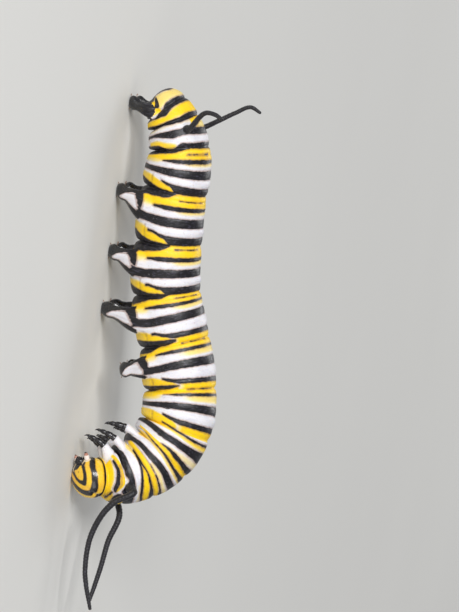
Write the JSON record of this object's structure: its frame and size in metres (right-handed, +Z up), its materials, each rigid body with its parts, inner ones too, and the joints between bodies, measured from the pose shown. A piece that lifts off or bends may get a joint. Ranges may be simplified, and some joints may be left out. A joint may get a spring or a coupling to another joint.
{
  "type": "monarch butterfly larva",
  "caption": "Striped larva of a milkweed butterfly, fully grown, arched in the middle with its face curled down to the floor, and with long black filaments at both ends.",
  "frame": {"origin": "on the floor, under the middle of the box round the whole animal, filaments included", "axes": "+X the way the rear body points, towards the head; +Y the animal's left; +Z up"},
  "size_m": [0.0474, 0.011, 0.0114],
  "materials": {
    "larval_skin": "soft, finely wrinkled skin with a slight sheen, banded black, white and yellow",
    "head_capsule": "hard, glossy, banded yellow and black",
    "dark_cuticle": "glossy black horn",
    "filament_skin": "black, velvety"
  },
  "bodies": {
    "root": {"abdomen_01": "larval_skin", "abdomen_02": "larval_skin", "abdomen_03": "larval_skin", "abdomen_04": "larval_skin", "abdomen_05": "larval_skin", "abdomen_06": "larval_skin", "abdomen_07": "larval_skin", "abdomen_08": "larval_skin", "abdomen_09": "larval_skin", "abdomen_10": "larval_skin", "thorax_1": "larval_skin", "thorax_2": "larval_skin", "thorax_3": "larval_skin", "head": "head_capsule", "mouthparts": "dark_cuticle", "antenna_right": "dark_cuticle", "leg_t1_right": "dark_cuticle", "leg_t2_right": "dark_cuticle", "leg_t3_right": "dark_cuticle", "proleg_a3_right": "dark_cuticle", "proleg_a4_right": "dark_cuticle", "proleg_a5_right": "dark_cuticle", "proleg_a6_right": "dark_cuticle", "proleg_a10_right": "dark_cuticle", "filament_front_right": "filament_skin", "filament_rear_right": "filament_skin", "antenna_left": "dark_cuticle", "leg_t1_left": "dark_cuticle", "leg_t2_left": "dark_cuticle", "leg_t3_left": "dark_cuticle", "proleg_a3_left": "dark_cuticle", "proleg_a4_left": "dark_cuticle", "proleg_a5_left": "dark_cuticle", "proleg_a6_left": "dark_cuticle", "proleg_a10_left": "dark_cuticle", "filament_front_left": "filament_skin", "filament_rear_left": "filament_skin"}
  },
  "joints": []
}
